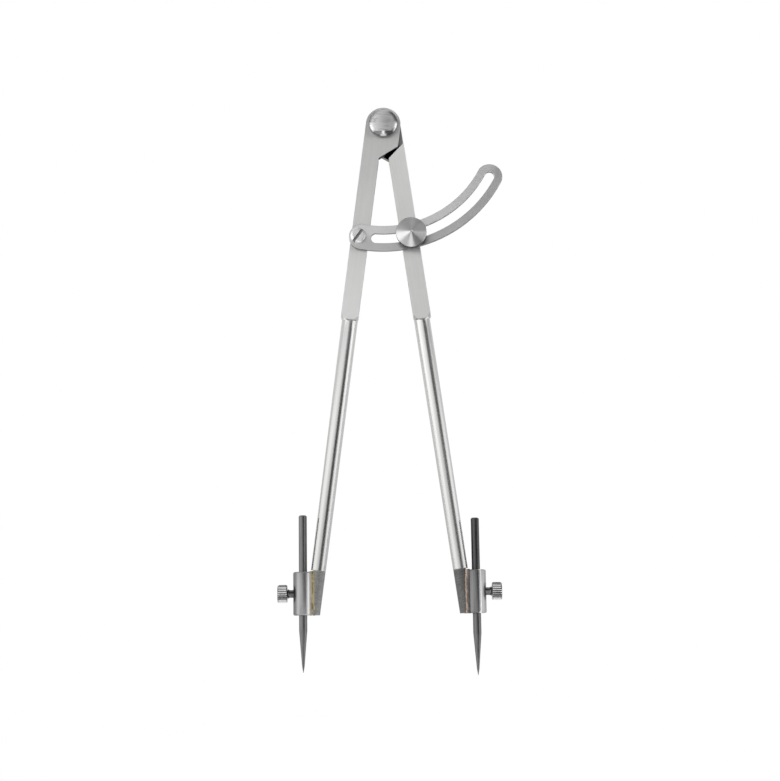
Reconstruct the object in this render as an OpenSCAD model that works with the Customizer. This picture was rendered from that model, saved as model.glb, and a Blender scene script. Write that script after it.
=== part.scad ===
// Wing divider: two legs hinged at a half-lapped head, each with a brazed socket that clamps a needle point,
// and a slotted arc that is screwed to the left leg and locks the right leg with a thumb screw.
// The hinge axis is the Y axis, at the middle of the legs' thickness. +X is right, +Y is back and +Z is up.

/* [Opening] */
// Angle between the two legs as drawn, in degrees
opening_angle = 15.5; // [4:0.5:60]
// Largest angle between the legs that the wing's slot allows, in degrees
max_opening = 64; // [62:0.5:90]

/* [Head] */
// Diameter of the round head, which is also the width of the two closed legs
head_d = 18.4; // [17:0.1:24]
// Room between the two lapped head plates
lap_gap = 0.5; // [0.3:0.1:1]
// Distance from the pivot down to the outer corner of the lap's shoulder
shoulder_drop = 11.4; // [10:0.1:16]
// Length of a head plate's tail below the shoulder, where it is brazed to its leg
plate_tail = 5; // [3:0.5:12]
// Thickness of the braze between a head plate and its leg
head_braze_t = 0.25; // [0.1:0.05:0.5]

/* [Legs] */
// Thickness of the flat upper legs
leg_t = 7.5; // [6:0.5:9]
// Distance from the pivot to the end of the flats
flat_length = 107; // [90:1:130]
// Radius of the cutter that leaves the run-out between flat and rod
runout_r = 1.9; // [1:0.1:4]
// Diameter of the round leg at its upper end
rod_top_d = 8.4; // [8:0.1:10]
// Diameter of the round leg at its lower end
rod_end_d = 7.65; // [7:0.05:8]

/* [Feet] */
// Distance from the pivot along a leg to the middle of its needle socket
socket_along = 250; // [200:0.25:300]
// Angle between a needle and its leg's inner edge, in degrees
needle_splay = 7.75; // [4:0.25:12]
// Outer diameter of a needle socket
socket_d = 10; // [9:0.1:13]
// Height of a needle socket
socket_h = 21.8; // [18:0.1:28]
// Distance from a needle's axis to the flat ground on its socket
socket_flat = 4.6; // [4.2:0.05:4.9]
// Thickness of the braze between a socket and its leg
foot_braze_t = 0.6; // [0.3:0.1:1]
// Distance from a leg's ground seam face to the leg's axis, at the middle of the socket
seam_inset = 1.1; // [0.8:0.1:2.5]
// How much smaller the radius of the ground foot is than that of the round leg
foot_relief = 0.1; // [0.05:0.05:0.8]

/* [Needles] */
// Diameter of a needle
needle_d = 4.2; // [3:0.1:5]
// How far up the left needle is drawn, from where it sits evenly in its socket
left_needle_set = 1.2; // [-3:0.1:3]
// How far up the right needle is drawn, from where it sits evenly in its socket
right_needle_set = -1.2; // [-3:0.1:3]
// Length of an evenly set needle above the middle of its socket
needle_above = 38.5; // [20:0.1:50]
// Length of an evenly set needle below the middle of its socket
needle_below = 40.6; // [36:0.1:60]
// Length of a needle's long taper, with its point
needle_taper = 21; // [10:0.5:24]
// Length of the steep point at the end of the taper
point_length = 3.2; // [1.5:0.1:5]
// Diameter of a needle where the steep point starts
point_d = 1.3; // [0.8:0.1:1.8]

/* [Needle clamps] */
// Thread diameter of a needle's thumb screw
clamp_d = 4; // [3:0.5:5]
// Diameter of a thumb screw's knurled head
thumb_d = 9.3; // [8:0.1:12]
// Width of a thumb screw's head along its axis
thumb_w = 4.9; // [3:0.1:7]
// Length of a thumb screw's neck between its socket and its head
thumb_neck = 2.9; // [2.5:0.1:6]
// Number of ridges around a thumb screw's head
thumb_ridges = 26; // [16:2:40]

/* [Wing] */
// Radius of the wing's middle line about the pivot
wing_r = 63.4; // [50:0.1:75]
// Width of the wing
wing_w = 13.5; // [12:0.1:18]
// Thickness of the wing
wing_t = 2; // [1.5:0.1:3]
// Width of the wing's slot
slot_w = 5.1; // [4.2:0.1:5.6]
// Metal left between the slot's end and the wing's tip
tip_land = 4.2; // [3.5:0.1:9]
// Metal left between the middle of the fixing screw and the wing's root end
root_land = 4.9; // [4.6:0.1:6.4]
// Length of slot left beyond the clamp screw when the legs are closed
slot_lead = 1.4; // [0.2:0.1:2]

/* [Wing fastenings] */
// Distance of the wing's holes from the middle of a leg's width, towards the leg's outer edge
hole_shift = 0.7; // [0:0.1:1.5]
// Thread diameter of the fixing screw and of the clamp screw's stud
stud_d = 4; // [3:0.1:4]
// Diameter of the fixing screw's pan head
pan_d = 8; // [6:0.1:8.6]
// Height of the fixing screw's pan head
pan_h = 2.4; // [1.6:0.1:3]
// Width of the screwdriver slot
driver_w = 1.4; // [0.6:0.1:1.8]
// Turn of the screwdriver slot from the horizontal, in degrees
driver_turn = 61; // [0:1:90]
// Thickness of the spacer between the wing and the left leg
spacer_t = 0.3; // [0.2:0.1:1]
// Outer diameter of the spacer, the clamp's washer and the clamp knob's collar
collar_d = 9; // [7:0.1:9.4]
// Thickness of the clamp's washer
washer_t = 0.8; // [0.5:0.1:1.5]
// Diameter of the clamp knob
knob_d = 16; // [12:0.5:22]
// Thickness of the clamp knob's disc at its rim
knob_h = 3.2; // [2.5:0.1:8]
// How far the clamp knob's coned face rises from its rim to its middle
knob_rise = 2.1; // [0.1:0.1:4]
// Number of ridges around the clamp knob
knob_ridges = 48; // [30:2:72]

/* [Pivot] */
// Diameter of the pivot bolt
pivot_d = 6; // [4:0.1:7]
// Diameter of the pivot bolt's head
dome_d = 15.2; // [12:0.1:16]
// Height of the pivot bolt's head
dome_h = 4.5; // [3.5:0.1:7]
// Radius of the round crown of the pivot bolt's head
dome_crown_r = 14; // [11:0.5:30]
// Thickness of the friction washer between the head plates
lap_washer_t = 0.4; // [0.2:0.05:0.45]
// Outer diameter of the friction washer
lap_washer_d = 14; // [10:0.1:16]
// Outer diameter of the spring washer under the nut
spring_d = 11; // [9:0.1:14]
// Thickness of the spring washer
spring_t = 1.4; // [0.8:0.1:2]
// Width across the flats of the pivot nut
nut_af = 10; // [9:0.5:13]
// Height of the pivot nut
nut_h = 4; // [3:0.1:6]

/* [Clearances] */
// Room between the inner edges of the legs when they are closed
closing_gap = 0.3; // [0.1:0.1:1]
// Room between a head plate's shoulder and the other leg when they are closed
shoulder_gap = 0.3; // [0.2:0.1:0.6]
// Radial room of a pin, screw or needle in its hole
running_gap = 0.05; // [0.02:0.01:0.1]
// Room between flat faces that slide on each other
face_gap = 0.05; // [0.02:0.01:0.1]
// Room between the clamp knob and the fixing screw's head when the legs are closed
knob_gap = 0.7; // [0.3:0.1:2]

/* [Hidden] */
$fn = 64;

// Cutters reach this far past what they cut
past = 1;
// Edges of flats lie this far inside the round shapes that they run into
step = 0.02;
// Turns a piece that is drawn for the left leg into the same piece of the right leg
turned = 180;
// Height of small bevels on screws, needles and sockets
bevel = 0.5;
// Round ends of the wing and its slot are wider than these by this factor, and meet their sides at an angle
end_swell = 1.02;
// Length of round leg that is let into the flat bar
rod_lead = 2;
// Distance along a leg from the end of its full round to the level of its socket's top
foot_shoulder = 0.65;

head_r = head_d / 2;
inner_edge = closing_gap / 2;
outer_edge = head_r - step;
bar_mid = (inner_edge + outer_edge) / 2;
corner_r = norm([head_r, shoulder_drop]);
tail_end = shoulder_v(inner_edge, 0) + plate_tail;
plate_back = -lap_gap / 2;
tongue_front = plate_back + head_braze_t;

bar_end = flat_length + past;
rod_start = flat_length - rod_lead;
rod_stop = socket_along - socket_h / 2 - foot_shoulder;
rod_tilt = atan((rod_top_d - rod_end_d) / 2 / (rod_stop - rod_start));
foot_stop = socket_along + socket_h;

seam = socket_flat + foot_braze_t;
needle_r = needle_d / 2;
clamp_tip = needle_r + running_gap;
thumb_back = socket_d / 2 + thumb_neck;

stud_r = stud_d / 2;
hole_out = bar_mid + hole_shift;
hole_v = sqrt(wing_r * wing_r - hole_out * hole_out);
hole_angle = asin(hole_out / wing_r);
wing_back = -leg_t / 2 - spacer_t;
wing_front = wing_back - wing_t;
slot_slack = 0.15;
slot_from = hole_angle - degrees_along(slot_lead);
slot_to = hole_angle + max_opening + slot_slack;
root_at = -hole_angle + degrees_along(end_swell * wing_w / 2 - root_land);
tip_at = slot_to + degrees_along(tip_land - end_swell * (wing_w - slot_w) / 2);
washer_back = wing_front - face_gap;
collar_back = washer_back - washer_t;
knob_back = min(wing_front - pan_h - knob_gap, collar_back - past);
screw_end = leg_t / 2 - bevel;

pivot_r = pivot_d / 2;
nut_seat = leg_t / 2 + face_gap + spring_t;

// Distance down from the pivot to the lap's shoulder, at a distance out from the closed legs' middle line
function shoulder_v(out, gap) = ((corner_r + gap) * corner_r - head_r * out) / shoulder_drop;

// Distance out from the middle line to the round leg's axis, at a distance down from the pivot
function rod_axis(v) = inner_edge + step + rod_top_d / 2 - (v - rod_start) * tan(rod_tilt);

// Angle about the pivot, in degrees, of a length along the wing's middle line
function degrees_along(length) = length / wing_r * 180 / PI;

// Points of a round stretch of a profile, a quarter round unless told otherwise, from its start angle
function bend(center, r, from, sweep = 90, steps = 8) = [
    for (i = [0 : steps]) let (angle = from + sweep * i / steps) center + r * [cos(angle), sin(angle)]
];

// Outline of a straight knurl: ridges of the given height around a circle
function ridges(count, r, height) = [
    for (i = [0 : 2 * count - 1]) (r - height * (i % 2)) * [cos(180 * i / count), sin(180 * i / count)]
];

// Left side as it stands when the divider is open
module left_side() {
    rotate([0, opening_angle / 2, 0]) children();
}

// Right side: the same pieces turned back to front
module right_side() {
    rotate([0, 0, turned]) left_side() children();
}

// An outline in the XZ plane, made solid from y0 to y1
module slab(y0, y1) {
    translate([0, y1, 0]) rotate([90, 0, 0]) linear_extrude(y1 - y0) children();
}

// A round bar or hole along Y, at a place in the XZ plane
module across(x, z, r, y0, y1) {
    translate([x, y1, z]) rotate([90, 0, 0]) cylinder(r = r, h = y1 - y0);
}

// A stretch of a flat ring about the pivot, between two angles from straight down, in front of y = 0
module arc(r, w, t, from, to) {
    rotate([90, 0, 0]) rotate([0, 0, from - 90]) rotate_extrude(angle = to - from, $fn = 128)
        translate([r - w / 2, 0]) square([w, t]);
}

// Moves a piece along the wing's middle line to an angle from straight down
module at_angle(angle) {
    rotate([0, -angle, 0]) translate([0, 0, -wing_r]) children();
}

// An arc about the pivot with rounded ends, whose middles are at two angles from straight down
module bow(w, t, from, to) {
    beyond = degrees_along(w);
    difference() {
        arc(wing_r, w, t, from - beyond, to + beyond);
        for (end = [[from, from - 2 * beyond, from], [to, to, to + 2 * beyond]]) difference() {
            translate([0, past, 0]) arc(wing_r, 2 * w, t + 2 * past, end[1], end[2]);
            at_angle(end[0]) across(0, 0, end_swell * w / 2, -t - 2 * past, 2 * past);
        }
    }
}

// Moves a piece to the wing's hole in the left leg
module at_left_hole() {
    left_side() translate([-hole_out, 0, -hole_v]) children();
}

// Moves a piece to the wing's hole in the right leg
module at_right_hole() {
    rotate([0, -opening_angle / 2, 0]) translate([hole_out, 0, -hole_v]) children();
}

// Stands a piece that is drawn along Z out of the front face
module facing_front() {
    rotate([90, 0, 0]) children();
}

// Frame of a needle: Z along the needle, X towards the leg, with the origin in the middle of the socket
module at_socket() {
    translate([-rod_axis(socket_along), 0, -socket_along]) rotate([0, -needle_splay, 0])
        translate([-seam - seam_inset, 0, 0]) children();
}

// Flat upper leg: slanted at the lap, rebated for the head plate and turned down to the rod at its lower end
module leg_bar() {
    cone_r = rod_top_d / 2 - 3 * step;
    cone_h = head_d + leg_t;
    difference() {
        slab(-leg_t / 2, leg_t / 2) polygon([
            [-inner_edge, -shoulder_v(inner_edge, shoulder_gap)],
            [-outer_edge, -shoulder_v(outer_edge, shoulder_gap)],
            [-outer_edge, -bar_end],
            [-inner_edge, -bar_end]
        ]);
        translate([-head_d, -leg_t, -tail_end]) cube([head_d * 2, leg_t + tongue_front, tail_end]);
        translate([-rod_axis(bar_end), 0, -bar_end - past]) difference() {
            cylinder(r = head_d, h = cone_h / 2 + past);
            translate([0, 0, past]) cylinder(r1 = cone_r, r2 = cone_r + cone_h / 2, h = cone_h);
            translate([0, 0, -past]) cylinder(r = cone_r, h = 3 * past);
        }
    }
}

// Cutter that clears the rod from one flat and leaves a rounded run-out
module runout() {
    dip = 0.1;
    depth = leg_t / 2 - dip;
    translate([-head_d, depth, -flat_length + past / 5]) cube([head_d, head_d, head_d]);
    translate([-head_d, depth + runout_r, -flat_length]) rotate([0, 90, 0])
        cylinder(r = runout_r, h = head_d);
    translate([-head_d, depth + runout_r, -flat_length - runout_r]) cube([head_d, head_d, head_d]);
}

// A tapered round bar along the leg, thinner by a relief, from one distance down the leg to another
module rod(from, to, relief) {
    taper = tan(rod_tilt);
    r_from = rod_top_d / 2 - relief - (from - rod_start) * taper;
    r_to = rod_top_d / 2 - relief - (to - rod_start) * taper;
    translate([-rod_axis(from), 0, -from]) rotate([0, -rod_tilt, 0]) translate([0, 0, from - to])
        cylinder(r1 = r_to, r2 = r_from, h = to - from);
}

// Round lower leg with its ground foot, cut flat along the seam and level with the socket
module leg_rod() {
    difference() {
        rod(rod_start, rod_stop, 0);
        runout();
        mirror([0, 1, 0]) runout();
    }
    difference() {
        rod(rod_stop - past, foot_stop, foot_relief);
        at_socket() translate([seam - socket_h, -socket_h, -2 * socket_h])
            cube([socket_h, 2 * socket_h, 4 * socket_h]);
        at_socket() translate([-socket_h, -socket_h, -socket_h / 2 - 2 * socket_h])
            cube([4 * socket_h, 2 * socket_h, 2 * socket_h]);
    }
}

module leg() {
    color("silver") difference() {
        union() {
            leg_bar();
            leg_rod();
        }
        across(-hole_out, -hole_v, stud_r + running_gap, -leg_t, leg_t);
    }
}

// Half-thickness head with its neck, its slanted shoulder and its tail
module head_plate() {
    color("lightgrey") difference() {
        union() {
            across(0, 0, head_r, -leg_t / 2, plate_back);
            slab(-leg_t / 2, plate_back) polygon([
                [-outer_edge, 0],
                [-outer_edge, -tail_end],
                [-inner_edge, -tail_end],
                [-inner_edge, -shoulder_v(-inner_edge, 0)],
                [outer_edge, -shoulder_v(outer_edge, 0)],
                [outer_edge, 0]
            ]);
        }
        across(0, 0, pivot_r + running_gap, -leg_t, leg_t);
    }
}

// Film of braze between a head plate and its leg's rebate
module head_braze() {
    color("goldenrod") slab(plate_back, tongue_front) polygon([
        [-inner_edge, -shoulder_v(inner_edge, shoulder_gap)],
        [-outer_edge, -shoulder_v(outer_edge, shoulder_gap)],
        [-outer_edge, -tail_end],
        [-inner_edge, -tail_end]
    ]);
}

// Tube that holds the needle, with a flat for the seam and a tapped cross hole
module socket() {
    half = socket_h / 2;
    r = socket_d / 2;
    bore = needle_r + running_gap;
    color("darkgrey") at_socket() difference() {
        rotate_extrude() polygon([
            [bore, half],
            [r - bevel, half],
            [r, half - bevel],
            [r, bevel - half],
            [r - bevel, -half],
            [bore, -half]
        ]);
        translate([socket_flat, -socket_d, -socket_h]) cube([socket_d, 2 * socket_d, 2 * socket_h]);
        rotate([0, -90, 0]) cylinder(r = clamp_d / 2 + running_gap, h = socket_d);
    }
}

// Seam of braze between a socket's flat and the leg's ground face
module socket_braze() {
    width = 2 * sqrt(socket_d * socket_d / 4 - socket_flat * socket_flat) - bevel;
    height = socket_h - 2 * bevel;
    color("goldenrod") at_socket() translate([socket_flat, -width / 2, -height / 2])
        cube([foot_braze_t, width, height]);
}

// Needle with a small bevel on top, a long taper and a steep point, drawn up from its even place
module needle(set) {
    tip_r = 0.1;
    color("dimgrey") at_socket() translate([0, 0, set]) rotate_extrude() polygon([
        [0, needle_above],
        [needle_r - bevel, needle_above],
        [needle_r, needle_above - bevel],
        [needle_r, needle_taper - needle_below],
        [point_d / 2, point_length - needle_below],
        [tip_r, -needle_below],
        [0, -needle_below]
    ]);
}

// Thumb screw that clamps the needle: bevelled tip, shank, flared neck and knurled head
module needle_clamp() {
    r = clamp_d / 2;
    flare = thumb_neck / 2;
    head_edge = thumb_d / 2;
    ridge = 0.55;
    color("grey") at_socket() rotate([0, -90, 0]) {
        rotate_extrude() polygon(concat(
            [[0, clamp_tip], [r - bevel, clamp_tip], [r, clamp_tip + bevel]],
            bend([r + flare, thumb_back - flare], flare, 180, -90),
            [[r + flare, thumb_back + bevel], [0, thumb_back + bevel]]
        ));
        intersection() {
            translate([0, 0, thumb_back]) linear_extrude(thumb_w)
                polygon(ridges(thumb_ridges, head_edge, ridge));
            rotate_extrude() polygon([
                [0, thumb_back],
                [head_edge - bevel, thumb_back],
                [head_edge + bevel, thumb_back + 2 * bevel],
                [head_edge + bevel, thumb_back + thumb_w - 3 * bevel],
                [head_edge - bevel, thumb_back + thumb_w],
                [0, thumb_back + thumb_w]
            ]);
        }
    }
}

// Pivot bolt: low head with a round crown, and a shank through both plates and the nut
module pivot_bolt() {
    crown_sweep = asin(dome_d / 2 / dome_crown_r);
    shank = leg_t / 2 + nut_seat + nut_h + bevel;
    color("lightgrey") translate([0, -leg_t / 2, 0]) facing_front() {
        rotate_extrude() polygon(concat(
            [[0, 0], [dome_d / 2, 0]],
            bend([0, dome_h - dome_crown_r], dome_crown_r, 90 - crown_sweep, crown_sweep, steps = 16)
        ));
        translate([0, 0, -shank]) rotate_extrude() polygon([
            [0, 0],
            [pivot_r - bevel, 0],
            [pivot_r, bevel],
            [pivot_r, shank + past],
            [0, shank + past]
        ]);
    }
}

// Thin friction washer in the lap between the two head plates
module pivot_washer() {
    color("goldenrod") difference() {
        across(0, 0, lap_washer_d / 2, -lap_washer_t / 2, lap_washer_t / 2);
        across(0, 0, pivot_r + running_gap, -past, past);
    }
}

// Split spring washer under the pivot nut
module pivot_spring_washer() {
    seat = leg_t / 2 + face_gap;
    split_turn = 20;
    color("grey") difference() {
        across(0, 0, spring_d / 2, seat, seat + spring_t);
        across(0, 0, pivot_r + running_gap, seat - past, seat + spring_t + past);
        rotate([0, split_turn, 0]) translate([0, seat - past, -bevel / 2])
            cube([spring_d, spring_t + 2 * past, bevel]);
    }
}

// Hexagon nut on the back of the pivot, with turned corners
module pivot_nut() {
    corner = nut_af / 2 / cos(30);
    color("darkgrey") translate([0, nut_seat + nut_h, 0]) facing_front() difference() {
        intersection() {
            cylinder(r = corner, h = nut_h, $fn = 6);
            cylinder(r1 = nut_af / 2 + bevel / 4, r2 = nut_af / 2 + bevel / 4 + 2 * nut_h, h = nut_h);
        }
        translate([0, 0, -past]) cylinder(r = pivot_r + running_gap, h = nut_h + 2 * past);
    }
}

// Slotted arc about the pivot, with round ends and a hole for its fixing screw
module wing() {
    color("gainsboro") left_side() translate([0, wing_back, 0]) difference() {
        bow(wing_w, wing_t, root_at, tip_at);
        translate([0, past, 0]) bow(slot_w, wing_t + 2 * past, slot_from, slot_to);
        at_angle(-hole_angle) across(0, 0, stud_r + running_gap, -wing_t - past, past);
    }
}

// Slotted pan-head screw that fixes the wing to the left leg
module wing_screw() {
    rim_r = pan_h / 2;
    color("whitesmoke") at_left_hole() difference() {
        union() {
            translate([0, wing_front, 0]) facing_front() rotate_extrude() polygon(concat(
                [[0, 0], [pan_d / 2, 0]],
                bend([pan_d / 2 - rim_r, pan_h - rim_r], rim_r, 0),
                [[0, pan_h]]
            ));
            across(0, 0, stud_r, wing_front - past, screw_end);
        }
        translate([0, wing_front - pan_h - past, 0]) rotate([0, -driver_turn, 0])
            translate([-pan_d, 0, -driver_w / 2]) cube([2 * pan_d, pan_h / 2 + past, driver_w]);
    }
}

// Thin spacer that lifts the wing clear of the right leg
module wing_spacer() {
    color("silver") at_left_hole() difference() {
        across(0, 0, collar_d / 2, wing_back, -leg_t / 2);
        across(0, 0, stud_r + running_gap, wing_back - past, leg_t / 2);
    }
}

// Thumb screw that locks the right leg to the wing: knurled knob, collar and threaded stud
module wing_clamp_screw() {
    r = knob_d / 2;
    ridge = 0.5;
    edge = bevel / 4;
    color("lightgrey") at_right_hole() {
        across(0, 0, stud_r, knob_back - past, screw_end);
        across(0, 0, collar_d / 2, knob_back - past, collar_back);
        translate([0, knob_back, 0]) facing_front() intersection() {
            linear_extrude(knob_h + knob_rise) polygon(ridges(knob_ridges, r, ridge));
            rotate_extrude($fn = 96) polygon([
                [0, 0],
                [r - bevel, 0],
                [r + bevel, 2 * bevel],
                [r + bevel, knob_h - bevel - edge],
                [r - edge, knob_h],
                [0, knob_h + knob_rise]
            ]);
        }
    }
}

// Plain washer between the clamp screw's collar and the wing
module wing_clamp_washer() {
    color("silver") at_right_hole() difference() {
        across(0, 0, collar_d / 2, collar_back, washer_back);
        across(0, 0, stud_r + running_gap, collar_back - past, washer_back + past);
    }
}

left_side() leg();  // left_leg
left_side() head_plate();  // left_head_plate
left_side() head_braze();  // left_head_braze
left_side() socket();  // left_socket
left_side() socket_braze();  // left_socket_braze
left_side() needle(left_needle_set);  // left_needle
left_side() needle_clamp();  // left_needle_clamp
right_side() leg();  // right_leg
right_side() head_plate();  // right_head_plate
right_side() head_braze();  // right_head_braze
right_side() socket();  // right_socket
right_side() socket_braze();  // right_socket_braze
right_side() needle(right_needle_set);  // right_needle
right_side() needle_clamp();  // right_needle_clamp
pivot_bolt();
pivot_washer();
pivot_spring_washer();
pivot_nut();
wing();
wing_screw();
wing_spacer();
wing_clamp_screw();
wing_clamp_washer();
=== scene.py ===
"""Looks of a steel wing divider: finishes, braze beads, soft edges, studio light and camera, in metres."""

import math

import bmesh
import bpy
from mathutils import Euler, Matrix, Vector, noise


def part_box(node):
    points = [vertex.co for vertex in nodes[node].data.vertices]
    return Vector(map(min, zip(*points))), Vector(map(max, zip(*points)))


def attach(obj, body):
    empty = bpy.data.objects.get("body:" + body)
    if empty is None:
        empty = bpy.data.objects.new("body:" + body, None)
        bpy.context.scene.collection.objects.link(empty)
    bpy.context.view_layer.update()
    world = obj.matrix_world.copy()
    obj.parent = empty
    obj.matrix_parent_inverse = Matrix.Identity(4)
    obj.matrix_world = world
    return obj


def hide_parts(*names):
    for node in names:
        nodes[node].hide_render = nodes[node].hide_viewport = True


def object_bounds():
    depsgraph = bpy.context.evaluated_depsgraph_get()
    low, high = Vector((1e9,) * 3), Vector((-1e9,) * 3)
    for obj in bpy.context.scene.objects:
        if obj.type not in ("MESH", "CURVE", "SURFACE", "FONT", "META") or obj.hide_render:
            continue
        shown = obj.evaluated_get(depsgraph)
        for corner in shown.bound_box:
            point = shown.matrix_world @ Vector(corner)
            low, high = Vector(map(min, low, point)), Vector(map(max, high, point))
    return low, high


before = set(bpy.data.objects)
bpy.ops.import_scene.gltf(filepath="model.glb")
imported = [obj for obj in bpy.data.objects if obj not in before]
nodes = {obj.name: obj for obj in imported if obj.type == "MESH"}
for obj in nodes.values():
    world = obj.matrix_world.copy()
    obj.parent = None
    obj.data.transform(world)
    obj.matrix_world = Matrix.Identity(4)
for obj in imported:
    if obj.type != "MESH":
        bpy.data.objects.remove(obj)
cad_low, cad_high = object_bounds()

# Sizes
MM = 0.001
HALF_OPENING = math.radians(7.75)  # each leg's lean from the upright at rest
INNER_EDGE = 0.15 * MM  # a leg's inner edge, across the leg from the hinge
FLAT_END = 107 * MM  # hinge to the end of a leg's flat, along the leg
ROD_END = 238.45 * MM  # hinge to the end of a leg's full round, along the leg
BRAZE_FROM = 18.7 * MM  # hinge to the upper end of the braze on a leg's inner edge
BRAZE_TO = 23.6 * MM  # hinge to its lower end
BRAZE_REACH = 2.4 * MM  # how far that braze spreads to both sides of the lap
LAP_FACE = 0.25 * MM  # middle of the lap to either head plate
LAP_SHADE_FROM = 11 * MM  # hinge down to where the painted shade on the lap's faces begins
LAP_SHADE_TO = 13 * MM  # to where that painted shade is full black
WING_RADIUS = 63.4 * MM  # hinge to the wing's middle line
SHOULDER_DROP = 11.4 * MM  # hinge down to the outer corner of the lap's shoulder
HEAD_RADIUS = 9.2 * MM
DOME_RADIUS = 7.6 * MM  # edge of the pivot bolt's head
FILED_TO = -4.7 * MM  # Z where the filed patch on it ends
DRIVER_TURN = math.radians(53.25)  # slope of the fixing screw's slot
DRIVER_WIDTH = 1.4 * MM
NECK_RADIUS = 3.0 * MM  # a needle clamp's neck, at the flare under its head
GROOVE_RADIUS = 4.15 * MM  # bottom of the grooves in a needle clamp's knurl
RIDGE_RADIUS = 4.55 * MM  # crest of its ridges
KNOB_RIM = -12.2 * MM  # Y where the clamp knob's side turns into its face
KNOB_FACE_RADIUS = 7.86 * MM  # edge of its turned face
TURNED_RINGS = 5000.0  # fineness of the rings on it, per metre outwards
POINTS_Z = cad_low.z
FLOOR_Z = POINTS_Z - 28 * MM  # clear of the needles when they are pushed right down


def middle(node):
    """Middle of a CAD node's box."""
    low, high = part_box(node)
    return (Vector(low) + Vector(high)) / 2


KNOB_PLACE = middle("wing_clamp_screw")
SCREW_PLACE = middle("wing_screw")
SCREW_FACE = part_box("wing_screw")[0][1]  # Y of the fixing screw's face
NEEDLE_X = middle("right_needle").x
SOCKET_Z = middle("right_socket").z
SOCKET_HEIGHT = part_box("right_socket")[1][2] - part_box("right_socket")[0][2]

# Studio: angles are degrees from the front, rightwards, and heights are the upward part of a direction
ROOM_LEVELS = (  # brightness around the object, as pairs of an angle and a level
    (-106, 0.8), (-94, 1.85), (-42, 1.85), (-30, 1.5), (0, 1.1),
    (8, 0.13), (44, 0.13), (56, 1.85), (94, 1.85), (106, 0.8),
)
TOP_LEVELS = (0.5, 0.16)  # ceiling in front, at the left and at the right
TOP_TURN = (-30, -5)  # angles between which it goes from one to the other
TOP_HEIGHTS = (0.22, 0.4)  # where the walls turn into the ceiling
ZENITH_LEVEL = 0.75
ZENITH_HEIGHTS = (0.86, 0.98)
GROUND_LEVELS = (0.36, 0.12)  # ground in front, at the left and at the right
GROUND_TURN = (-5, 5)
GROUND_HEIGHTS = (-0.1, -0.18)  # where the light in front turns into the ground
STRIP_LEVEL = 1.7  # a bright strip on the ground, straight in front
STRIP_EDGE = (3.5, 7)  # angles to both sides between which it ends
BOX_REACH = 0.3  # how much lower the soft boxes at the sides reach than the light in front
BOX_EDGE = (36, 60)  # angles to both sides between which they begin to
BACKDROP_EDGE = (100, 110)  # angles to both sides where the white background begins, for reflections too

# Camera: low in front of the divider, with the photograph's slight lean
EYE_DISTANCE = 0.8
EYE_HEIGHT = 5.0 * MM  # above the points
AIM = Vector((1.6 * MM, 0.0, -143.2 * MM))
PICTURE_ROWS = 781
ROW_HEIGHT = 0.5184 * MM  # height of a row of the picture where the camera aims
LEAN = math.radians(0.82)


class Wiring:
    """A node tree, built by short calls that give back output sockets."""

    def __init__(self, tree):
        self.tree = tree

    def node(self, kind, **settings):
        made = self.tree.nodes.new(kind)
        for key, value in settings.items():
            setattr(made, key, value)
        return made

    def put(self, value, socket):
        """Links an output socket, or sets a plain value."""
        if isinstance(value, bpy.types.NodeSocket):
            self.tree.links.new(value, socket)
        else:
            socket.default_value = value

    def math(self, operation, a, b=0.0):
        made = self.node("ShaderNodeMath", operation=operation)
        self.put(a, made.inputs[0])
        self.put(b, made.inputs[1])
        return made.outputs[0]

    def span(self, value, low, high, to_low=0.0, to_high=1.0):
        """Goes smoothly from one number to another as a value goes from low to high."""
        made = self.node("ShaderNodeMapRange", interpolation_type="SMOOTHSTEP")
        self.put(value, made.inputs["Value"])
        for name, number in (("From Min", low), ("From Max", high), ("To Min", to_low), ("To Max", to_high)):
            made.inputs[name].default_value = number
        return made.outputs["Result"]

    def window(self, value, low, high, soft):
        """1 between two values, and 0 outside them."""
        return self.math("MULTIPLY", self.span(value, low - soft, low + soft),
                         self.span(value, high - soft, high + soft, 1.0, 0.0))

    def distance(self, a, b):
        """Distance from an axis, by the two coordinates across it."""
        return self.math("SQRT", self.math("ADD", self.math("MULTIPLY", a, a), self.math("MULTIPLY", b, b)))

    def mix(self, factor, a, b):
        """Mixes two numbers or number sockets."""
        made = self.node("ShaderNodeMix", data_type="FLOAT")
        self.put(factor, made.inputs[0])
        self.put(a, made.inputs[2])
        self.put(b, made.inputs[3])
        return made.outputs[0]

    def split(self, vector):
        made = self.node("ShaderNodeSeparateXYZ")
        self.put(vector, made.inputs[0])
        return made.outputs


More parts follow.
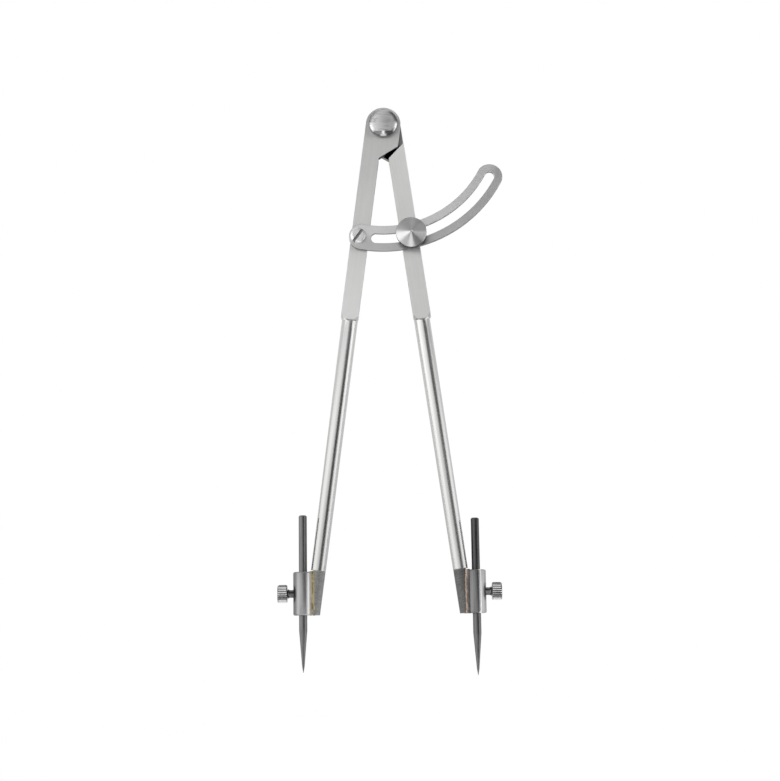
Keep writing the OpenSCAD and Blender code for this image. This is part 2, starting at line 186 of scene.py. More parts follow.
class Shader(Wiring):
    """A metal's material."""

    NOISE_RANGE = (0.3, 0.7)  # where most of a noise's values lie

    def __init__(self, name):
        self.material = bpy.data.materials.new(name)
        self.material.use_nodes = True
        super().__init__(self.material.node_tree)
        self.tree.nodes.clear()
        self.bsdf = self.node("ShaderNodeBsdfPrincipled")
        self.bsdf.inputs["Metallic"].default_value = 1.0
        output = self.node("ShaderNodeOutputMaterial")
        self.tree.links.new(self.bsdf.outputs["BSDF"], output.inputs["Surface"])

    def place(self, scale=(1, 1, 1), turn=(0.0, 0.0, 0.0)):
        """Object coordinates, turned and then stretched."""
        coordinates = self.node("ShaderNodeTexCoord").outputs["Object"]
        turned = self.node("ShaderNodeMapping", vector_type="POINT")
        self.put(coordinates, turned.inputs["Vector"])
        turned.inputs["Rotation"].default_value = turn
        stretched = self.node("ShaderNodeMapping", vector_type="POINT")
        self.put(turned.outputs["Vector"], stretched.inputs["Vector"])
        stretched.inputs["Scale"].default_value = scale
        return stretched.outputs["Vector"]

    def normal(self):
        """The piece's own normal, as three numbers."""
        return self.split(self.node("ShaderNodeTexCoord").outputs["Normal"])

    def noise(self, vector, detail=3.0, roughness=0.55):
        made = self.node("ShaderNodeTexNoise")
        self.put(vector, made.inputs["Vector"])
        made.inputs["Scale"].default_value = 1.0
        made.inputs["Detail"].default_value = detail
        made.inputs["Roughness"].default_value = roughness
        return made.outputs["Fac"]

    def vary(self, value, low, high):
        """Lets a noise go from low to high."""
        return self.span(value, *self.NOISE_RANGE, low, high)

    def grey(self, value, tint=(1.0, 1.0, 1.0)):
        """A colour of this brightness, slightly tinted."""
        made = self.node("ShaderNodeCombineColor")
        for channel, part in zip(("Red", "Green", "Blue"), tint):
            self.put(value if part == 1.0 else self.math("MULTIPLY", value, part), made.inputs[channel])
        return made.outputs["Color"]

    def blend(self, factor, a, b):
        """Mixes two colours or colour sockets."""
        made = self.node("ShaderNodeMix", data_type="RGBA")
        self.put(factor, made.inputs[0])
        self.put(a, made.inputs[6])
        self.put(b, made.inputs[7])
        return made.outputs[2]

    def bump(self, height, distance):
        made = self.node("ShaderNodeBump")
        made.inputs["Distance"].default_value = distance
        made.inputs["Strength"].default_value = 1.0
        self.put(height, made.inputs["Height"])
        self.tree.links.new(made.outputs["Normal"], self.bsdf.inputs["Normal"])

    def spread(self, direction, amount):
        """Draws reflections out along a direction of the piece, across its grain."""
        world = self.node("ShaderNodeVectorTransform", vector_type="VECTOR", convert_from="OBJECT",
                          convert_to="WORLD")
        self.put(direction, world.inputs[0])
        self.tree.links.new(world.outputs[0], self.bsdf.inputs["Tangent"])
        self.bsdf.inputs["Anisotropic"].default_value = amount

    def finish(self, color, roughness):
        self.put(color, self.bsdf.inputs["Base Color"])
        self.put(roughness, self.bsdf.inputs["Roughness"])
        return self.material


# Tones of the steel and depths of its relief: side -1 is the left leg's pieces and 1 the right leg's
WARM_STEEL = (1.0, 0.998, 0.99)
FLAT_LIGHT_TONES = {-1: (0.88, 1.0), 1: (0.98, 0.87)}  # painted light on the brushed flats, from the head down
BACK_SHADE_TONE = 0.72  # painted shade on the sides and back of the flats, against their front
ROD_TONES = (0.50, 0.60)
ROD_FALL = -0.1  # change of tone down to the lower end of a rod
FOOT_TONES = {-1: (0.16, 0.36), 1: (0.08, 0.21)}  # ground feet, from dark to light stroke
SHADED_STEEL = {-1: (0.02, 0.02, 0.02, 1.0), 1: (0.25, 0.25, 0.25, 1.0)}  # under the head plates' shoulders
LAP_SHADE_TONES = (0.5, 0.004)  # the lap's faces, from bare to black painted shade
WING_LIGHT_TONES = (0.88, 0.66)  # painted light, inside and outside the slot's circle
WING_EDGE_TONE = 0.12
DOME_EDGE_TONE = 0.60
FILED_LIGHT_TONES = (0.68, 0.95)  # painted light on the dome's filed patch, growing from below its middle up
KNOB_TONE = 0.76
# painted shade on the clamp knob's knurled side
KNURL_SHADE_TONE = 0.05
SLOT_TONE = 0.35
NECK_TONE = 0.14
THUMB_SHADE_TONES = (0.05, 0.85)  # painted shade in the grooves, and worn bright ridges, of a needle clamp
THUMB_END_TONE = 0.4
NEEDLE_SHADE_TONES = {-1: (0.145, 0.15), 1: (0.135, 0.065)}  # at a needle's point and at its top, where painted shade under the socket darkens the right one
BRAZE_GOLD = (0.50, 0.42, 0.15, 1.0)
BRAZE_BROWN = (0.28, 0.17, 0.08, 1.0)
BRAZE_BRIGHT = (0.72, 0.60, 0.27, 1.0)
LEG_RELIEF = 0.05 * MM
FINE_RELIEF = 0.01 * MM
UPRIGHT_GRAIN = (1800, 1800, 40)
BRAZE_GRAIN = (420, 420, 260)


def satin(name, brightness, tint=(1.0, 1.0, 1.0)):
    """Satin metal with a fine even grain."""
    s = Shader(name)
    grain = s.noise(s.place((300, 300, 300)), detail=4.0, roughness=0.6)
    clouds = s.noise(s.place((90, 90, 90)))
    level = s.math("ADD", s.vary(grain, -0.05, 0.05), s.vary(clouds, -0.025, 0.025))
    s.bump(grain, FINE_RELIEF)
    rough = s.math("ADD", s.vary(grain, -0.05, 0.05), 0.35)
    return s.finish(s.grey(s.math("ADD", level, brightness), tint), rough)


def leg_turn(side):
    """Turn that stands a leaning leg upright."""
    return 0.0, side * HALF_OPENING, 0.0


def flat_finish(s, side, down):
    """Brightness, roughness and relief of a leg's brushed flats, with painted light: lightest in front and
    changing down the leg.
    """
    brushed = s.noise(s.place((4200, 4200, 30), leg_turn(side)), detail=4.0, roughness=0.6)
    clouds = s.noise(s.place((60, 60, 40)))
    level = s.math("ADD", s.vary(brushed, -0.03, 0.03), s.vary(clouds, -0.02, 0.02))
    # Painted light: the flats' tone changes down the leg
    level = s.math("ADD", level, s.span(down, 0.0, FLAT_END, *FLAT_LIGHT_TONES[side]))
    # Painted shade on the sides and back of the flats
    level = s.math("MULTIPLY", level, s.span(s.normal()[1], -0.9, -0.5, 1.0, BACK_SHADE_TONE))
    return level, s.vary(brushed, 0.58, 0.66), s.math("MULTIPLY", brushed, 0.1)


def rod_finish(s, side, down):
    """Brightness, roughness and relief of a leg's polished round part, with faint streaks and waves."""
    streaks = s.noise(s.place((900, 900, 9), leg_turn(side)))
    waves = s.noise(s.place((260, 260, 60), leg_turn(side)), detail=2.0)
    level = s.math("ADD", s.vary(streaks, *ROD_TONES), s.span(down, FLAT_END, ROD_END, 0.0, ROD_FALL))
    return level, s.vary(streaks, 0.16, 0.26), s.math("MULTIPLY", waves, 0.5)


def foot_finish(s, side):
    """Brightness, roughness and relief of a leg's foot, ground with slanted strokes."""
    strokes = s.noise(s.place((500, 500, 1500), (0.0, 0.5, 0.0)), detail=5.0, roughness=0.7)
    return s.span(strokes, 0.25, 0.75, *FOOT_TONES[side]), s.span(strokes, 0.25, 0.75, 0.42, 0.62), strokes


def edge_braze(s, across, depth, down):
    """1 on the braze that shows on the right leg's inner edge, and 0 elsewhere."""
    along = s.window(down, BRAZE_FROM, BRAZE_TO, 0.4 * MM)
    on_edge = s.span(across, INNER_EDGE + 0.2 * MM, INNER_EDGE + 0.6 * MM, 1.0, 0.0)
    in_reach = s.window(depth, -BRAZE_REACH, BRAZE_REACH, 0.6 * MM)
    return s.math("MULTIPLY", s.math("MULTIPLY", along, on_edge), in_reach)


def lap_face(s, side, depth):
    """1 on the face of a head plate that lies in the lap, and 0 off it."""
    inwards = s.math("MULTIPLY", depth, float(side))
    return s.span(inwards, LAP_FACE + 0.02 * MM, LAP_FACE + 0.06 * MM, 1.0, 0.0)


def under_shoulder(s, across, down):
    """1 on the underside of a head plate's slanted shoulder, which faces the other leg, and 0 inside it."""
    reach = s.math("SUBTRACT", s.math("MULTIPLY", down, SHOULDER_DROP),
                   s.math("MULTIPLY", across, HEAD_RADIUS))
    corner = math.hypot(HEAD_RADIUS, SHOULDER_DROP)
    inside = s.math("SUBTRACT", corner, s.math("DIVIDE", reach, corner))
    beyond = s.span(across, INNER_EDGE - 0.1 * MM, INNER_EDGE, 1.0, 0.0)
    return s.math("MULTIPLY", beyond, s.span(inside, 0.03 * MM, 0.08 * MM, 1.0, 0.0))


def leg_steel(name, side, is_plate=False):
    """Brushed flats, polished round lower leg and dark ground foot, told apart by the distance down the leg.

    A head plate has painted shade where it laps the other one and under its shoulder.
    """
    s = Shader(name)
    across, depth, up = s.split(s.place(turn=leg_turn(side)))
    across = s.math("MULTIPLY", across, float(side))
    down = s.math("MULTIPLY", up, -1.0)
    is_rod = s.span(down, FLAT_END - 0.2 * MM, FLAT_END + 0.8 * MM)
    is_foot = s.span(down, ROD_END - 0.3 * MM, ROD_END + 0.3 * MM)
    finishes = zip(flat_finish(s, side, down), rod_finish(s, side, down), foot_finish(s, side))
    level, rough, relief = [s.mix(is_foot, s.mix(is_rod, flat, rod), foot) for flat, rod, foot in finishes]
    s.bump(relief, LEG_RELIEF)
    s.spread((math.cos(HALF_OPENING), 0.0, side * math.sin(HALF_OPENING)), 0.8)
    color = s.grey(level, WARM_STEEL)
    if side > 0:
        color = s.blend(edge_braze(s, across, depth, down), color, BRAZE_GOLD)
    if is_plate:
        # Painted shade: the lap's faces turn black deep in the recess between the plates
        lap_shade = s.span(down, LAP_SHADE_FROM, LAP_SHADE_TO, *LAP_SHADE_TONES)
        color = s.blend(lap_face(s, side, depth), color, s.grey(lap_shade))
        # Painted shade under the slanted shoulder
        color = s.blend(under_shoulder(s, across, down), color, SHADED_STEEL[side])
    return s.finish(color, rough)


def wing_material(name):
    """Rolled strip with a fine grain and dark edges, and painted light: lighter inside its slot's circle
    than outside.
    """
    s = Shader(name)
    x, _, z = s.split(s.place())
    grain = s.noise(s.place((700, 700, 700)), roughness=0.6)
    clouds = s.noise(s.place((120, 120, 120)), detail=2.0)
    # Painted light: lighter inside the slot's circle than outside
    level = s.span(s.distance(x, z), WING_RADIUS - 3 * MM, WING_RADIUS + 3 * MM, *WING_LIGHT_TONES)
    level = s.math("ADD", level, s.vary(grain, -0.015, 0.015))
    level = s.math("ADD", level, s.vary(clouds, -0.02, 0.02))
    is_face = s.span(s.math("ABSOLUTE", s.normal()[1]), 0.4, 0.8)
    s.bump(grain, 0.0005 * MM)
    s.spread((1.0, 0.0, 0.0), 0.6)
    return s.finish(s.grey(s.mix(is_face, WING_EDGE_TONE, level)), s.vary(grain, 0.32, 0.38))


def dome_material(name):
    """Pivot bolt's head: filed nearly level and matt, with painted light growing towards its top, but smooth
    and darker at its edge and lower down, and a painted shadow line round its foot.
    """
    s = Shader(name)
    x, _, z = s.split(s.place())
    radius = s.distance(x, z)
    filed = s.math("MULTIPLY", s.span(radius, DOME_RADIUS - 2.4 * MM, DOME_RADIUS - 0.6 * MM, 1.0, 0.0),
                   s.span(z, FILED_TO - 0.5 * MM, FILED_TO + 0.5 * MM))
    scratches = s.noise(s.place((130, 900, 2200), (0.0, 0.05, 0.0)), detail=4.0, roughness=0.65)
    deep = s.span(s.noise(s.place((50, 900, 1100), (0.0, -0.08, 0.0)), detail=1.0), 0.60, 0.66)
    # Painted light: the filed patch grows lighter towards the top
    level = s.mix(filed, DOME_EDGE_TONE, s.span(z, -1 * MM, 5 * MM, *FILED_LIGHT_TONES))
    level = s.math("ADD", level, s.vary(scratches, -0.07, 0.07))
    level = s.math("SUBTRACT", level, s.math("MULTIPLY", deep, 0.18))
    # Painted shadow line round the foot of the dome
    outline = s.span(radius, DOME_RADIUS - 0.5 * MM, DOME_RADIUS - 0.2 * MM, 1.0, 0.4)
    rough = s.math("ADD", s.mix(filed, 0.15, 0.58), s.vary(scratches, -0.04, 0.04))
    s.bump(scratches, 0.006 * MM)
    return s.finish(s.grey(s.math("MULTIPLY", level, outline)), rough)


def screw_material(name):
    """Dull bright nickel, darker inside the driver slot."""
    s = Shader(name)
    x, y, z = s.split(s.place())
    dust = s.noise(s.place((500, 500, 500)), detail=4.0)
    right = s.math("SUBTRACT", x, SCREW_PLACE.x)
    up = s.math("SUBTRACT", z, SCREW_PLACE.z)
    off_line = s.math("SUBTRACT", s.math("MULTIPLY", up, math.cos(DRIVER_TURN)),
                      s.math("MULTIPLY", right, math.sin(DRIVER_TURN)))
    wall = DRIVER_WIDTH / 2
    in_slot = s.span(s.math("ABSOLUTE", off_line), wall + 0.02 * MM, wall + 0.06 * MM, 1.0, 0.0)
    below = s.span(y, SCREW_FACE + 0.1 * MM, SCREW_FACE + 0.3 * MM)
    level = s.mix(s.math("MULTIPLY", in_slot, below), s.vary(dust, 0.94, 1.0), SLOT_TONE)
    s.bump(dust, 0.004 * MM)
    return s.finish(s.grey(level), s.vary(dust, 0.44, 0.52))


def knob_material(name):
    """A lathe-turned face, whose rings draw the light out into wedges, and a knurl darkened by painted
    shade.
    """
    s = Shader(name)
    s.bsdf.inputs["Anisotropic"].default_value = 0.95
    s.bsdf.inputs["Anisotropic Rotation"].default_value = 0.25
    tangent = s.node("ShaderNodeTangent", direction_type="RADIAL", axis="Y")
    s.tree.links.new(tangent.outputs["Tangent"], s.bsdf.inputs["Tangent"])
    x, y, z = s.split(s.place())
    radius = s.distance(s.math("SUBTRACT", x, KNOB_PLACE.x), s.math("SUBTRACT", z, KNOB_PLACE.z))
    rings = s.noise(s.grey(s.math("MULTIPLY", radius, TURNED_RINGS)), detail=2.0)
    clouds = s.noise(s.place((300, 300, 300)), detail=4.0)
    tone = s.math("ADD", s.vary(clouds, -0.02, 0.02), s.vary(rings, -0.05, 0.05))
    within = s.span(radius, KNOB_FACE_RADIUS - 0.04 * MM, KNOB_FACE_RADIUS + 0.04 * MM, 1.0, 0.0)
    on_face = s.math("MULTIPLY", within, s.span(y, KNOB_RIM, KNOB_RIM + 0.1 * MM, 1.0, 0.0))
    level = s.mix(on_face, KNURL_SHADE_TONE, s.math("ADD", tone, KNOB_TONE))
    return s.finish(s.grey(level), s.math("ADD", s.vary(rings, -0.04, 0.04), 0.34))


# Painted reflections across the sockets, as tones: the outer side's, and changes between two distances
# towards the leg
SOCKET_LIGHT_TONES = {
    -1: (0.17, ((-3.6 * MM, -2.2 * MM, 0.16), (0.5 * MM, 3.0 * MM, 0.18))),
    1: (0.34, ((-2.5 * MM, -2.1 * MM, 0.52), (-1.3 * MM, -0.9 * MM, -0.68))),
}


def towards_leg(s):
    """Distance from a needle's axis, sideways towards its leg."""
    return s.math("SUBTRACT", NEEDLE_X, s.math("ABSOLUTE", s.split(s.place())[0]))


def socket_material(name, side):
    """Satin socket, drawn upright, with painted reflections in upright bands: dark and light, and on the
    right one a painted highlight.
    """
    s = Shader(name)
    lines = s.noise(s.place(UPRIGHT_GRAIN), detail=4.0, roughness=0.6)
    sideways = towards_leg(s)
    outer_tone, changes = SOCKET_LIGHT_TONES[side]
    level = s.math("ADD", s.vary(lines, -0.03, 0.03), outer_tone)
    # Painted reflections: dark and light upright bands, and a painted highlight on the right socket
    for begin, end, change in changes:
        level = s.math("ADD", level, s.span(sideways, begin, end, 0.0, change))
    s.bump(lines, FINE_RELIEF)
    return s.finish(s.grey(level), s.vary(lines, 0.31, 0.41))


def needle_material(name, side):
    """Dark drawn steel, from one tone at the needle's point to another at its top, with painted shade under
    the socket.
    """
    s = Shader(name)
    lines = s.noise(s.place(UPRIGHT_GRAIN), detail=4.0, roughness=0.6)
    height = s.split(s.place())[2]
    # Painted shade on the needle's top, under the socket
    level = s.span(height, SOCKET_Z - SOCKET_HEIGHT, SOCKET_Z + SOCKET_HEIGHT, *NEEDLE_SHADE_TONES[side])
    level = s.math("ADD", level, s.vary(lines, -0.03, 0.03))
    s.bump(lines, FINE_RELIEF)
    return s.finish(s.grey(level), s.vary(lines, 0.29, 0.39))


# Braze seams: places are distances from the needle towards the leg
SEAMS = {
    -1: {
        "line_at": 5.6 * MM, "half_line": 0.4 * MM, "line": (0.60, 0.51, 0.25, 1.0),
        "dark": (0.24, 0.19, 0.13, 1.0), "light": (0.40, 0.36, 0.27, 1.0),
        "socket_edge": 4.0 * MM, "socket": (0.36, 0.35, 0.32, 1.0),
    },
    1: {
        "line_at": 5.3 * MM, "half_line": 0.2 * MM, "line": (0.50, 0.385, 0.28, 1.0),
        "dark": (0.20, 0.14, 0.12, 1.0), "light": (0.28, 0.22, 0.19, 1.0),
        "socket_edge": 4.6 * MM, "socket": (0.18, 0.176, 0.17, 1.0),
    },
}
SEAM_WANDER = 0.25 * MM


def seam_material(name, side):
    """Brass filler, ground flush: stained, with a bright line along the foot and grey on the socket."""
    s = Shader(name)
    seam = SEAMS[side]
    spots = s.noise(s.place(BRAZE_GRAIN), detail=4.0)
    wander = s.math("ADD", towards_leg(s), s.vary(spots, -SEAM_WANDER, SEAM_WANDER))
    color = s.blend(s.span(spots, 0.32, 0.56), seam["dark"], seam["light"])
    line_from = seam["line_at"] - seam["half_line"]
    line_to = seam["line_at"] + seam["half_line"]
    color = s.blend(s.window(wander, line_from, line_to, 0.15 * MM), color, seam["line"])
    edge = seam["socket_edge"]
    color = s.blend(s.span(wander, edge - 0.2 * MM, edge + 0.2 * MM, 1.0, 0.0), color, seam["socket"])
    s.bump(spots, 0.05 * MM)
    return s.finish(color, s.vary(spots, 0.55, 0.4))


def braze_material(name):
    """Brass filler with browned patches."""
    s = Shader(name)
    spots = s.noise(s.place(BRAZE_GRAIN), detail=4.0)
    s.bump(spots, 0.1 * MM)
    color = s.blend(s.span(spots, 0.32, 0.56), BRAZE_BROWN, BRAZE_BRIGHT)
    return s.finish(color, s.vary(spots, 0.55, 0.4))


def thumb_material(name):
    """Knurled thumb screw: ridges worn bright, painted shade in the grooves, and a dark neck."""
    s = Shader(name)
    dust = s.noise(s.place((600, 600, 600)), detail=4.0)
    _, y, z = s.split(s.place())
    radius = s.distance(y, s.math("SUBTRACT", z, SOCKET_Z))
    # Painted shade in the knurl's grooves
    ridged = s.span(radius, GROOVE_RADIUS, RIDGE_RADIUS, *THUMB_SHADE_TONES)
    level = s.mix(s.span(radius, NECK_RADIUS, GROOVE_RADIUS), NECK_TONE, ridged)
    is_end = s.span(s.math("ABSOLUTE", s.normal()[0]), 0.6, 0.8)
    level = s.math("ADD", s.mix(is_end, level, THUMB_END_TONE), s.vary(dust, -0.04, 0.04))
    s.bump(dust, FINE_RELIEF)
    return s.finish(s.grey(level), s.vary(dust, 0.17, 0.25))


MATERIALS = {
    "left_leg": leg_steel("left_leg_steel", -1),
    "right_leg": leg_steel("right_leg_steel", 1),
    "left_plate": leg_steel("left_plate_steel", -1, is_plate=True),
    "right_plate": leg_steel("right_plate_steel", 1, is_plate=True),
    "left_socket": socket_material("left_socket_steel", -1),
    "right_socket": socket_material("right_socket_steel", 1),
    "left_needle": needle_material("left_needle_steel", -1),
    "right_needle": needle_material("right_needle_steel", 1),
    "braze": braze_material("braze_brass"),
    "left_braze": seam_material("left_braze_brass", -1),
    "right_braze": seam_material("right_braze_brass", 1),
    "thumb_screw": thumb_material("thumb_screw_steel"),
    "dome": dome_material("dome_steel"),
    "wing": wing_material("wing_steel"),
    "screw": screw_material("screw_nickel"),
    "knob": knob_material("knob_steel"),
    "washer": satin("washer_steel", 0.6),
    "brass": satin("washer_brass", 0.7, tint=(1.0, 0.8, 0.4)),
    "spring": satin("spring_steel", 0.45),
}
NODE_MATERIAL = {
    "left_leg": "left_leg", "left_head_plate": "left_plate", "right_leg": "right_leg",
    "right_head_plate": "right_plate", "left_head_braze": "braze", "right_head_braze": "braze",
    "left_socket_braze": "left_braze", "right_socket_braze": "right_braze", "left_socket": "left_socket",
    "right_socket": "right_socket", "left_needle": "left_needle", "right_needle": "right_needle",
    "left_needle_clamp": "thumb_screw", "right_needle_clamp": "thumb_screw", "pivot_bolt": "dome",
    "pivot_washer": "brass", "pivot_spring_washer": "spring", "pivot_nut": "washer", "wing": "wing",
    "wing_screw": "screw", "wing_spacer": "washer", "wing_clamp_screw": "knob",
    "wing_clamp_washer": "washer",
}
SOFT_EDGES = {  # widths of the rounded edges, in millimetres
    "left_socket": 0.15, "right_socket": 0.15, "left_needle_clamp": 0.06, "right_needle_clamp": 0.06,
    "pivot_bolt": 0.2, "pivot_spring_washer": 0.15, "pivot_nut": 0.15, "wing": 0.2, "wing_screw": 0.12,
    "wing_spacer": 0.05, "wing_clamp_washer": 0.12, "pivot_washer": 0.05,
}


def soften(node, width):
    """Rounds a CAD node's sharp edges a little."""
    node.modifiers.new("weld", "WELD").merge_threshold = 0.001 * MM
    flat = node.modifiers.new("flat", "DECIMATE")
    flat.decimate_type = "DISSOLVE"
    flat.angle_limit = math.radians(1)
    bevel = node.modifiers.new("bevel", "BEVEL")
    bevel.width = width
    bevel.segments = 2
    bevel.limit_method = "ANGLE"
    bevel.angle_limit = math.radians(35)


for node_name, key in NODE_MATERIAL.items():
    mesh = nodes[node_name].data
    mesh.materials.clear()
    mesh.materials.append(MATERIALS[key])
for node_name, width in SOFT_EDGES.items():
    soften(nodes[node_name], width * MM)


def new_piece(name, shape, key, body, node):
    """Makes a mesh piece that stands for a CAD node and rides on its body."""
    mesh = bpy.data.meshes.new(name)
    bmesh.ops.recalc_face_normals(shape, faces=shape.faces)
    shape.to_mesh(mesh)
    shape.free()
    mesh.shade_smooth()
    mesh.set_sharp_from_angle(angle=math.radians(40))
    mesh.materials.append(MATERIALS[key])
    piece = bpy.data.objects.new(name, mesh)
    bpy.context.collection.objects.link(piece)
    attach(piece, body)
    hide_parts(node)


def rings_to_shape(rings):
    """A closed skin over rings of points, with a flat face on both ends."""
    shape = bmesh.new()
    made = [[shape.verts.new(point) for point in ring] for ring in rings]
    for lower, upper in zip(made, made[1:]):
        for i in range(len(lower)):
            j = (i + 1) % len(lower)
            shape.faces.new((lower[i], lower[j], upper[j], upper[i]))
    shape.faces.new(made[0])
    shape.faces.new(made[-1])
    return shape


# Clamp knob: radius and Y of its outline from the stud's back end to the middle of the face, in millimetres
KNOB_OUTLINE = (
    (0.6, 3.25), (1.75, 3.25), (2.0, 3.0), (2.0, -6.9), (4.3, -6.9), (4.5, -7.1), (4.5, -8.95), (4.7, -9.15),
    (7.3, -9.15), (7.6, -9.3), (7.98, -9.7), (7.98, -12.15), (7.92, -12.28), (7.78, -12.38), (7.5, -12.45),
    (0.8, -14.24), (0.6, -14.29), (0.45, -14.15), (0.2, -13.95),
)
KNURLED = (10, 11)  # outline points with ridges
KNURL_DEPTH = 0.35
KNOB_RIDGES = 48
RIDGE_STEPS = 4  # points round a ridge


def make_knob():
    """Turned knob with a straight knurl and a coned face, on its collar and stud."""
    steps = KNOB_RIDGES * RIDGE_STEPS
    rings = []
    for index, (radius, y) in enumerate(KNOB_OUTLINE):
        ring = []
        for step in range(steps):
            angle = 2 * math.pi * step / steps
            cut = KNURL_DEPTH * (1 - math.cos(angle * KNOB_RIDGES)) / 2 if index in KNURLED else 0.0
            r = (radius - cut) * MM
            ring.append((KNOB_PLACE.x + r * math.cos(angle), y * MM, KNOB_PLACE.z + r * math.sin(angle)))
        rings.append(ring)
    new_piece("clamp_knob", rings_to_shape(rings), "knob", "wing_clamp", "wing_clamp_screw")


# Braze seam, in millimetres in the frame of a socket: U runs from the needle to the leg
SOCKET_R = 5.0
FOOT_R = 3.72
FOOT_AXIS = 6.3  # U of the leg's axis at the middle of the socket
FOOT_LEAST = 0.5  # least square of a bead's depth where it meets the foot
BEAD_ENDS = {-1: (3.5, 6.1), 1: (3.3, 5.7)}  # where a bead runs out, on the socket and on the foot
BEAD_SUNK = (0.05, 0.1)  # how deep these ends lie inside the socket and the foot
BEAD_CREST = (4.7, -3.95)  # control point of the bead's round front
BEAD_RISE = 0.3  # height of the bead's upper end above the socket
BEAD_STEPS = 72
BEAD_POINTS = 9
BEAD_SEEDS = {-1: 3.3, 1: 11.7}
BACK_SEED = 20  # added for the seam's back
COARSE_WAVES = 0.5  # per millimetre up the seam
FINE_WAVES = 1.7
FINE_SEED = 7.0
SOCKET_WANDER = 0.12  # how far the coarse waves move a bead's end on the socket
FOOT_WANDER = (0.25, 0.12)  # how far the coarse and the fine waves move its end on the foot
CREST_WANDER = (0.2, 0.15)  # how far they move its front


def bead_front(w, side, seed):
    """Points across the front of the seam at a height: from the socket's side over the bead to the foot."""
    coarse = noise.noise(Vector((w * COARSE_WAVES, seed, 0.0)))
    fine = noise.noise(Vector((w * FINE_WAVES, seed, FINE_SEED)))
    on_socket, on_foot = BEAD_ENDS[side]
    in_socket, in_foot = BEAD_SUNK
    start = on_socket + SOCKET_WANDER * coarse
    end = on_foot + FOOT_WANDER[0] * coarse + FOOT_WANDER[1] * fine
    offset = end - FOOT_AXIS - w * math.tan(HALF_OPENING)
    first = Vector((start, -math.sqrt(SOCKET_R ** 2 - start ** 2) + in_socket))
    last = Vector((end, -math.sqrt(max(FOOT_LEAST, FOOT_R ** 2 - offset ** 2)) + in_foot))
    crest = Vector(BEAD_CREST) - Vector((0.0, CREST_WANDER[0] * coarse + CREST_WANDER[1] * fine))
    points = []
    for i in range(BEAD_POINTS):
        t = i / (BEAD_POINTS - 1)
        point = (1 - t) ** 2 * first + 2 * t * (1 - t) * crest + t ** 2 * last
        points.append((point.x, point.y))
    return points


def make_bead(side):
    """Uneven bead of braze in the seam between a socket and its foot, on the front and on the back."""
    side_name = "right" if side > 0 else "left"
    seed = BEAD_SEEDS[side]
    rings = []
    for i in range(BEAD_STEPS + 1):
        w = SOCKET_HEIGHT / MM * (i / BEAD_STEPS - 0.5) + BEAD_RISE * i / BEAD_STEPS
        back = [(u, -y) for u, y in reversed(bead_front(w, side, seed + BACK_SEED))]
        rings.append([
            (side * (NEEDLE_X - u * MM), -side * y * MM, SOCKET_Z + w * MM)
            for u, y in bead_front(w, side, seed) + back
        ])
    new_piece(side_name + "_braze_bead", rings_to_shape(rings), side_name + "_braze",
              side_name + "_side", side_name + "_socket_braze")


make_knob()
make_bead(-1)
make_bead(1)


def make_floor():
    """A white floor below the points, which keeps the object's shadow."""
    half_width, front, back = 0.11, -0.45, 0.25
    mesh = bpy.data.meshes.new("floor")
    corners = [(-half_width, front), (half_width, front), (half_width, back), (-half_width, back)]
    mesh.from_pydata([(x, y, FLOOR_Z) for x, y in corners], [], [(0, 1, 2, 3)])
    floor = bpy.data.objects.new("floor", mesh)
    bpy.context.collection.objects.link(floor)
    material = bpy.data.materials.new("floor_white")
    material.use_nodes = True
    bsdf = material.node_tree.nodes["Principled BSDF"]
    bsdf.inputs["Base Color"].default_value = (0.9, 0.9, 0.9, 1)
    bsdf.inputs["Roughness"].default_value = 0.9
    bsdf.inputs["Emission Color"].default_value = (1, 1, 1, 1)
    bsdf.inputs["Emission Strength"].default_value = 0.7
    mesh.materials.append(material)


def turn_span(w, angle, edge, to_low=0.0, to_high=1.0):
    """Goes smoothly from one number to another between two angles, given in degrees."""
    begin, end = edge
    return w.span(angle, math.radians(begin), math.radians(end), to_low, to_high)


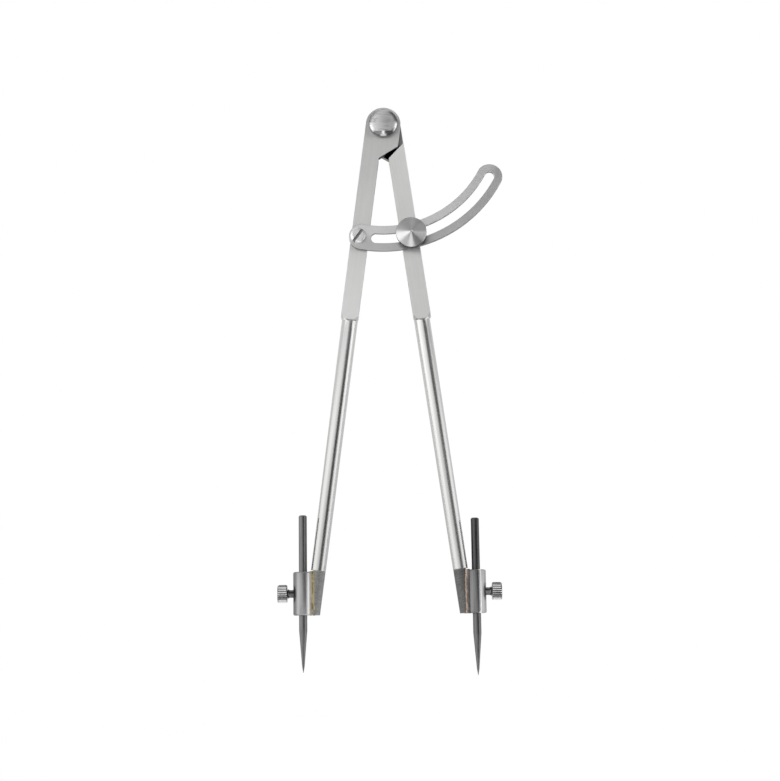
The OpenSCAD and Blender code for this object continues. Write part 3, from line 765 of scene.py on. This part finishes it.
def studio_level(w, around, aside, height):
    """Brightness of the studio by direction: the room, its ceiling above and the ground below."""
    level = ROOM_LEVELS[0][1]
    for (begin, before), (end, after) in zip(ROOM_LEVELS, ROOM_LEVELS[1:]):
        if before != after:
            level = w.math("ADD", turn_span(w, around, (begin, end), 0.0, after - before), level)
    top = turn_span(w, around, TOP_TURN, *TOP_LEVELS)
    top = w.mix(w.span(height, *ZENITH_HEIGHTS), top, ZENITH_LEVEL)
    level = w.mix(w.span(height, *TOP_HEIGHTS), level, top)
    ground = turn_span(w, around, GROUND_TURN, *GROUND_LEVELS)
    ground = w.mix(turn_span(w, aside, STRIP_EDGE), STRIP_LEVEL, ground)
    raised = w.math("ADD", height, turn_span(w, aside, BOX_EDGE, 0.0, BOX_REACH))
    return w.mix(w.span(raised, *GROUND_HEIGHTS), level, ground)


def make_world():
    """A studio: white behind the object, soft boxes at both sides, and a dark stretch at the front right."""
    world = bpy.data.worlds.new("studio")
    bpy.context.scene.world = world
    world.use_nodes = True
    w = Wiring(world.node_tree)
    background = world.node_tree.nodes["Background"]
    background.inputs["Color"].default_value = (1, 1, 1, 1)
    x, y, z = w.split(w.node("ShaderNodeTexCoord").outputs["Generated"])
    around = w.math("ARCTAN2", x, w.math("MULTIPLY", y, -1.0))
    aside = w.math("ABSOLUTE", around)
    level = studio_level(w, around, aside, z)
    path = w.node("ShaderNodeLightPath").outputs
    mirrored = w.math("MAXIMUM", path["Is Glossy Ray"], path["Is Transmission Ray"])
    behind = turn_span(w, aside, BACKDROP_EDGE)
    seen = w.math("MAXIMUM", path["Is Camera Ray"], w.math("MULTIPLY", mirrored, behind))
    w.put(w.mix(seen, level, 1.0), background.inputs["Strength"])


def make_camera():
    """The photograph's view: nearly level with the points, looking up at the head."""
    eye = Vector((AIM.x, -EYE_DISTANCE, POINTS_Z + EYE_HEIGHT))
    data = bpy.data.cameras.new("camera")
    data.sensor_width = 36.0
    data.lens = data.sensor_width * (AIM - eye).length / (PICTURE_ROWS * ROW_HEIGHT)
    camera = bpy.data.objects.new("camera", data)
    camera.location = eye
    camera.rotation_mode = "QUATERNION"
    facing = (AIM - eye).to_track_quat("-Z", "Y")
    camera.rotation_quaternion = facing @ Euler((0.0, 0.0, -LEAN)).to_quaternion()
    bpy.context.collection.objects.link(camera)
    bpy.context.scene.camera = camera


make_floor()
make_world()
make_camera()
bpy.context.scene.view_settings.view_transform = "Standard"
